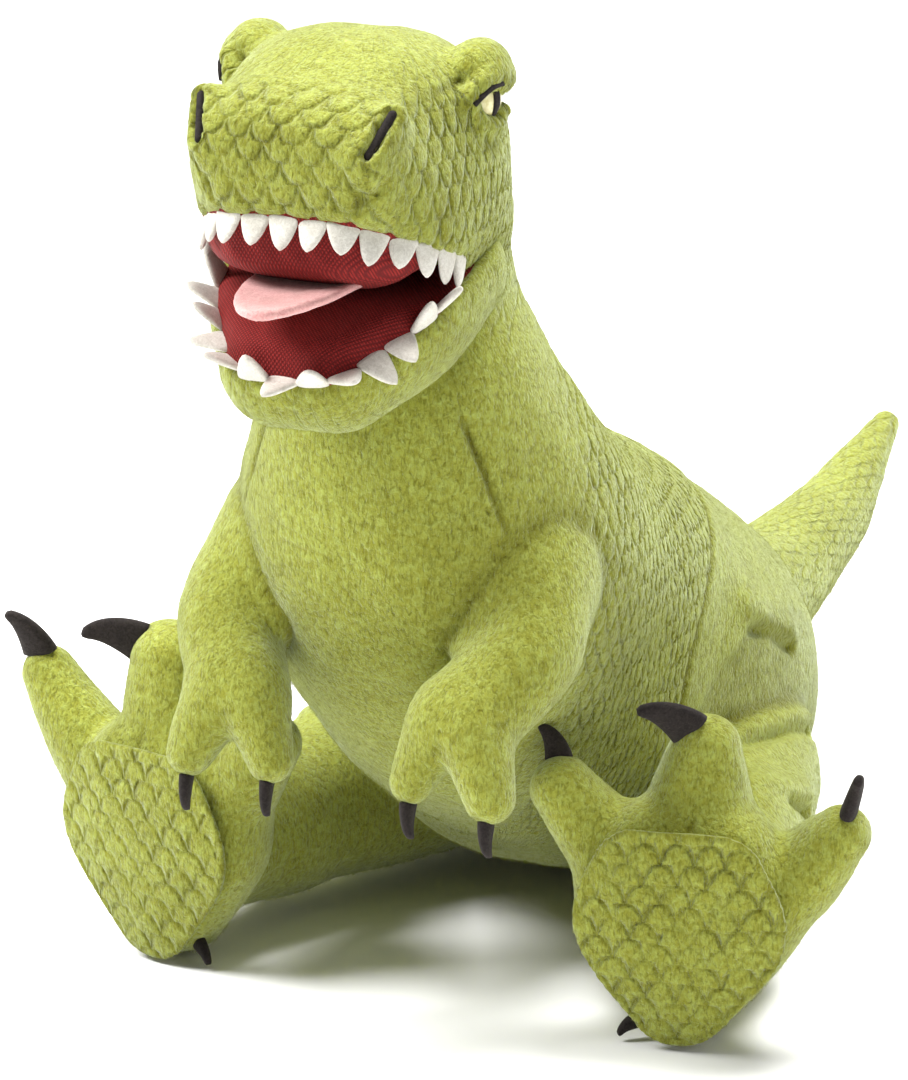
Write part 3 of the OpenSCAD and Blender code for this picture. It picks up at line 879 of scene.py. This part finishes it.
def arms(side):
    name = SIDE_NAMES[side]
    parting = [SHOULDER + p for p in ((-14, -74, -60), (-13, -76, -72))]

    def seam(L):
        return np.maximum(0.5 * groove(to_line(L, parting), 2.0), groove(to_line(L, ARM_TOP_SEAM), 1.5))
    low, high = SHOULDER + (-60, -110, -104), SHOULDER + (60, 62, 60)
    obj = cover(f"{name}_arm_cover", arm_sewn, low, high, plain_detail(body_form, 41, seam), side)
    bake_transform(obj)
    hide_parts(*[f"{name}_{n}" for n in ("arm_skin", "arm_stuffing", "inner_finger", "outer_finger")])


def legs(side):
    name = SIDE_NAMES[side]

    def detail(L, P):
        seams = 0.8 * groove(body_form(L), 2.0)
        return lumps(P, 51) * 1.1 - 1.6 * seams + folded(L), {"groove": np.clip(seams, 0, 1)}
    low, high = HIP + (-88, -204, -60), HIP + (102, 88, 88)
    obj = cover(f"{name}_leg_cover", leg_sewn, low, high, detail, side)
    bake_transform(obj)
    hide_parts(f"{name}_leg_skin", f"{name}_leg_stuffing")


def feet(side):
    name = SIDE_NAMES[side]

    def detail(L, P):
        Q = in_foot(L)
        rim = groove(sole_form(Q), 2.4)
        seams = rim
        for toe in TOES[side]:
            middle = toe[:, :3] - [0, toe[0, 3], 0]
            seams = np.maximum(seams, 0.5 * groove(to_line(Q, middle), 2.2))
        return lumps(P, 61) * 0.8 - 1.7 * seams, {"groove": np.clip(seams, 0, 1)}
    low, high = (-84, -34, -14), (110, 44, 166)
    obj = cover(f"{name}_foot_cover", lambda Q: foot_form(Q, side), low, high, detail, side, to_row=from_foot)
    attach(obj, f"{name}_foot")
    nodes = ("foot_skin", "foot_stuffing", "inner_toe", "middle_toe", "outer_toe")
    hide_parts(*[f"{name}_{n}" for n in nodes])

    def sole_detail(L, P):
        Q = in_foot(L)
        wobble = 1.6 * noise(P, 18, 9)
        u, v = (Q[:, 0] + wobble) / 14 + SCALE_OFFSET, SCALE_OFFSET - (Q[:, 2] + wobble) / 9
        edge = groove(swept(Q * [1, 0, 1] + [0, 1, 0], PAD) + 2.5, 2.0)
        # groove here is the sole's rim, where the plush material paints shade
        layers = {"scale_u": u, "scale_v": v, "scale_on": 1 - edge, "groove": 0.35 * edge}
        return 0.6 * lumps(P, 65) - 0.6 * scales(u, v) * (1 - edge), layers
    verts, faces = surface(sole_form, (-70, -34, -10), (70, -6, 120), CELL)
    verts, faces = mirrored(from_foot(verts), faces, side)
    push, layers = sole_detail(verts * [side, 1, 1], verts)
    verts = verts + normals_of(verts, faces) * push[:, None]
    sole = make(f"{name}_sole_cover", verts, faces, PLUSH, "scaled_plush", layers)
    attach(sole, f"{name}_foot")
    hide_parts(f"{name}_sole_panel")
    pile(sole)


def tail_cover():
    def detail(L, P):
        around = np.arctan2(P[:, 0], P[:, 2] - TAIL[2]) * 26
        wobble = 2.0 * noise(P, 20, 7)
        u, v = (around + wobble) / 7 + SCALE_OFFSET, (P[:, 1] + wobble) / 11 + SCALE_OFFSET
        on = np.full(len(P), 0.6)
        root = groove(body_form(P), 2.0)
        push = lumps(P, 71) * 0.8 - 1.5 * root - 0.8 * on * scales(u, v)
        return push, {"groove": 0.8 * root, "scale_u": u, "scale_v": v, "scale_on": on}
    obj = cover("tail_cover", tail_sewn, TAIL + (-80, -72, -60), TAIL + (80, 292, 76), detail)
    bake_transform(obj)
    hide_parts("tail_skin", "tail_stuffing")


# ---------------------------------------------------------------- trim

AROUND = 16


def oval_rings(path, wides, thicks, across, squareness=2.4):
    """Rings of rounded section along a path: wides lie along 'across', thicks at right angles to it."""
    path = np.asarray(path, float)
    along = np.gradient(path, axis=0)
    rings = []
    for at, way, wide, thick in zip(path, along, wides, thicks):
        way = unit(way)
        side = unit(across - way * (across @ way))
        out = np.cross(way, side)
        ring = []
        for j in range(AROUND):
            a = 2 * math.pi * j / AROUND
            c, s = math.cos(a), math.sin(a)
            cc = math.copysign(abs(c) ** (2 / squareness), c)
            ss = math.copysign(abs(s) ** (2 / squareness), s)
            ring.append(at + side * cc * wide + out * ss * thick)
        rings.append(ring)
    return rings


def claw(root, way, bend, length, height, thick):
    """A sewn felt claw: a crescent that bends one way and narrows to a blunt tip."""
    way, bend = unit(way), np.asarray(bend, float)
    bend = unit(bend - way * (bend @ way))
    t = np.linspace(0, 1, 14)
    arc = 1.25
    path = [root + way * length * math.sin(arc * s) / math.sin(arc) + bend * length * 0.42 * (s ** 2)
            for s in t]
    taper = 1 - 0.78 * t ** 1.25
    taper[-1] *= 0.5
    start = np.clip((t + 0.04) / 0.10, 0.35, 1)
    return loft(oval_rings(path, height * taper * start, thick * (0.35 + 0.65 * taper) * start, bend))


def foot_claws(side):
    name = SIDE_NAMES[side]
    parts = []
    for toe, (way, bend), size in zip(TOES[side], TOE_CLAWS[side], (0.65, 1.0, 0.9)):
        tip, r = toe[-1, :3], toe[-1, 3]
        root = tip + unit(way) * (r - 3.5)
        parts.append(claw(root, way, bend, 26 * size, 10 * size, 3.8))
    verts, faces = joined(parts)
    verts, faces = mirrored(from_foot(verts), faces, side)
    obj = make(f"{name}_toe_claws_felt", verts, faces, BLACK, "black_felt")
    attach(obj, f"{name}_foot")
    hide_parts(f"{name}_toe_claws")
    verts, faces = claw(np.array((-16, -8, 11)), (-0.85, -0.5, -0.1), (0, 0, -1), 13, 4.5, 3.0)
    verts, faces = mirrored(from_foot(verts), faces, side)
    obj = make(f"{name}_heel_claw_felt", verts, faces, BLACK, "black_felt")
    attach(obj, f"{name}_foot")
    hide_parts(f"{name}_heel_claw")


def hand_claws(side):
    name = SIDE_NAMES[side]
    way = (0, -0.35, -1)
    parts = [claw(f[-1, :3] + unit(way) * (f[-1, 3] - 2), way, (0.1, 0.9, 0), 16, 5.2, 3.0) for f in FINGERS]
    verts, faces = mirrored(*joined(parts), side)
    obj = make(f"{name}_arm_claws_felt", verts, faces, BLACK, "black_felt")
    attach(obj, f"{name}_arm")
    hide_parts(f"{name}_arm_claws")


def lip_line(form, up, inset):
    """Points along the lip, from the right corner round the front to the left, and the length up to each."""
    points = []
    for angle in np.radians(np.linspace(-112, 112, 150)):
        away = np.array([math.sin(angle), -math.cos(angle), 0])
        reach = np.arange(8, 90, 0.5)[:, None]
        P = (MOUTH_BACK + (0, -34, 0)) * [1, 1, 0] + away * reach
        height = np.zeros(len(P))
        for _ in range(2):
            Q = np.column_stack([P[:, :2], height])
            height = height - above_plane(Q, up) / up[2]
        Q = np.column_stack([P[:, :2], height])
        outside = np.argmax(form(Q) > -inset)
        points.append(Q[outside])
    points = np.array(points)
    length = np.concatenate([[0], np.cumsum(np.linalg.norm(np.diff(points, axis=0), axis=1))])
    return points, length


def tooth(at, out, way, height, width, thick, point):
    """A flat felt tooth with a rounded tip; point is 0 for blunt and 1 for sharp."""
    side = unit(np.cross(out, way))
    t = np.linspace(-0.12, 1, 12)
    path = [at + way * height * s for s in t]
    u = np.clip(t, 0, 1)
    blunt = np.sqrt(np.clip(1 - u ** 2.6, 0.015, 1))
    sharp = np.clip(1 - u, 0.0, 1) ** 0.8 * 0.92 + 0.08 * np.sqrt(np.clip(1 - u ** 6, 0.05, 1))
    wides = width / 2 * (blunt * (1 - point) + sharp * point)
    thicks = thick * np.sqrt(np.clip(1 - u ** 5, 0.08, 1))
    return loft(oval_rings(path, wides, thicks, side, 2.6))


def teeth():
    rng = np.random.default_rng(3)
    points, length = lip_line(head_form, PALATE_UP, 2.4)
    count = 15
    parts = []
    for i in range(count):
        s = length[-1] * (0.075 + 0.85 * i / (count - 1))
        at = np.array([np.interp(s, length, points[:, k]) for k in range(3)])
        near = np.array([np.interp(s + 3, length, points[:, k]) for k in range(3)])
        along = unit(near - at)
        out = unit(np.cross(along, PALATE_UP))
        out = out if out @ (at - MOUTH_BACK - (0, -34, 0)) > 0 else -out
        way = unit(-PALATE_UP + 0.10 * out + 0.10 * rng.uniform(-1, 1) * along)
        parts.append(tooth(at, out, way, 12 + rng.uniform(-1.4, 1.4), 14, 1.7, 0.65))
    obj = make("upper_teeth_felt", *joined(parts), CREAM, "cream_felt")
    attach(obj, "head")
    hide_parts("upper_teeth")

    points, length = lip_line(lambda P: swept(P, JAW), FLOOR_UP, 2.0)
    lean = (-0.35, -0.1, 0.3, -0.2, 0.1, 0.35, -0.1, 0.75, 0.1, 0.35, -0.2, 0.1, -0.1)
    splay = (20, 50, 40, 75, 50, 20, 80, 35, 70, 115, 95, 30, 45)
    count = len(splay)
    parts = []
    for i in range(count):
        s = length[-1] * (0.13 + 0.74 * i / (count - 1))
        at = np.array([np.interp(s, length, points[:, k]) for k in range(3)])
        near = np.array([np.interp(s + 3, length, points[:, k]) for k in range(3)])
        along = unit(near - at)
        out = unit(np.cross(along, FLOOR_UP))
        out = out if out @ (at - MOUTH_BACK - (0, -34, 0)) > 0 else -out
        tip = math.radians(splay[i])
        way = unit(FLOOR_UP * math.cos(tip) + out * math.sin(tip) + 0.25 * lean[i] * along)
        flat = unit(out * math.cos(tip) - FLOOR_UP * math.sin(tip))
        parts.append(tooth(at, flat, way, 15, 14.5, 1.8, 0.75))
    obj = make("lower_teeth_felt", *joined(parts), CREAM, "cream_felt")
    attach(obj, "jaw")
    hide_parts("lower_teeth")


def tongue():
    """A leaf of fleece from the fold at the back of the mouth out over the lower lip."""
    def form(P):
        rel = P - MOUTH_BACK
        forward = -rel[:, 1]
        leaf = np.sqrt(np.clip(1 - ((forward - 52) / 56) ** 2, 0, 1))
        half = 25 * leaf * (0.55 + 0.45 * ramp(forward, 0, 60)) + 0.1
        level = 2.5 - 0.03 * forward + 0.004 * rel[:, 0] ** 2 + 0.05 * rel[:, 0]
        edge = np.abs(rel[:, 0]) - half
        return smooth_max(edge, np.abs(rel[:, 2] - level) - 2.1, 3.0)
    verts, faces = surface(form, MOUTH_BACK + (-34, -118, -16), MOUTH_BACK + (34, 14, 20), FINE_CELL * 1.2)
    verts = verts + normals_of(verts, faces) * (0.35 * noise(verts, 6, 4))[:, None]
    obj = make("tongue_fleece", verts, faces, PINK, "pink_felt")
    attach(obj, "jaw")
    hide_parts("tongue")


def eyes(side):
    name = SIDE_NAMES[side]
    out = EYE_OUT

    def ball(P, centre, r, squash):
        rel = P - centre
        deep = rel @ out
        flat = rel - deep[:, None] * out
        return np.hypot(np.linalg.norm(flat, axis=1), deep * squash) - r

    def lens(P):
        return ball(P, EYE, 10.8, 1.05)

    def slit(P):
        rel = P - EYE
        across = rel @ unit(np.cross(out, (0, 0, 1)))
        shape = np.hypot(across / 2.2, rel[:, 2] / 7.5) * 2.2 - 2.2
        return smooth_max(smooth_max(shape, ball(P, EYE, 11.4, 1.05), 0.4), -(rel @ out), 0.4)
    for label, form, material, slot, node in (("eye_dome", lens, YELLOW, "eye_yellow", "eye"),
                                              ("pupil_slit", slit, BLACK, "black_felt", "pupil")):
        verts, faces = surface(form, EYE - 16, EYE + 16, FINE_CELL * 0.7)
        obj = make(f"{name}_{label}", *mirrored(verts, faces, side), material, slot)
        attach(obj, "head")
        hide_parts(f"{name}_{node}")


def lid_line(side):
    """The dark stitched line under the upper eyelid."""
    name = SIDE_NAMES[side]
    line = UPPER_LID + EYE_OUT * 3.0 + (0, -1, -2.6)
    path = sweep((0, 0, 0), *[(*p, 1, 0) for p in line], rounding=3)[:, :3]
    rings = oval_rings(path, *np.ones((2, 99)) * 1.4, np.array((0, 0, 1.0)))
    obj = make(f"{name}_lid_line", *mirrored(*loft(rings), side), BLACK, "black_felt")
    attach(obj, "head")


def nostrils(side):
    name = SIDE_NAMES[side]

    def form(P):
        return to_line(P, NOSTRIL + NOSTRIL_OUT * 2.6) - 2.1
    verts, faces = surface(form, NECK + (26, -150, 68), NECK + (58, -104, 116), FINE_CELL)
    obj = make(f"{name}_nostril_felt", *mirrored(verts, faces, side), BLACK, "black_felt")
    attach(obj, "head")
    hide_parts(f"{name}_nostril")


# ---------------------------------------------------------------- stage

def stage():
    size = 60.0
    bpy.ops.mesh.primitive_plane_add(size=size, location=(0, 0, 0))
    floor = bpy.context.object
    floor.name = "studio_floor"
    material, _, shader = nodes_of("studio_floor")
    shader.inputs["Base Color"].default_value = (0.93, 0.93, 0.93, 1)
    shader.inputs["Roughness"].default_value = 0.9
    floor.data.materials.append(material)
    world = bpy.data.worlds.new("studio")
    bpy.context.scene.world = world
    world.use_nodes = True
    world.node_tree.nodes["Background"].inputs[0].default_value = (1, 1, 1, 1)
    world.node_tree.nodes["Background"].inputs[1].default_value = 0.22
    for name, place, power, width in (("key", (-1.7, -1.1, 2.1), 120, 1.1),
                                      ("top", (0.3, 0.7, 2.6), 150, 1.4),
                                      ("fill", (2.0, -0.8, 1.0), 10, 1.6)):
        light = bpy.data.lights.new(name, "AREA")
        light.energy = power
        light.size = width
        obj = bpy.data.objects.new(name, light)
        obj.location = place
        bpy.context.scene.collection.objects.link(obj)
        aim(obj, (0, -0.15, 0.2))
    bpy.context.scene.view_settings.view_transform = "Standard"


def aim(obj, target):
    way = Vector(target) - obj.location
    obj.rotation_euler = way.to_track_quat("-Z", "Y").to_euler()


def camera():
    azimuth, elevation, distance = math.radians(25), math.radians(17), 2.6
    target = np.array((0, -0.196, 0.200))
    away = np.array([math.sin(azimuth) * math.cos(elevation), -math.cos(azimuth) * math.cos(elevation),
                     math.sin(elevation)])
    data = bpy.data.cameras.new("camera")
    data.lens = 200.2
    data.sensor_width = 36
    obj = bpy.data.objects.new("camera", data)
    obj.location = target + away * distance
    bpy.context.scene.collection.objects.link(obj)
    aim(obj, target)
    bpy.context.scene.camera = obj


trunk_and_head()
jaw_cover()
mouth_pads()
tail_cover()
for side in (LEFT, RIGHT):
    arms(side)
    legs(side)
    feet(side)
    foot_claws(side)
    hand_claws(side)
    eyes(side)
    lid_line(side)
    nostrils(side)
teeth()
tongue()
stage()
camera()
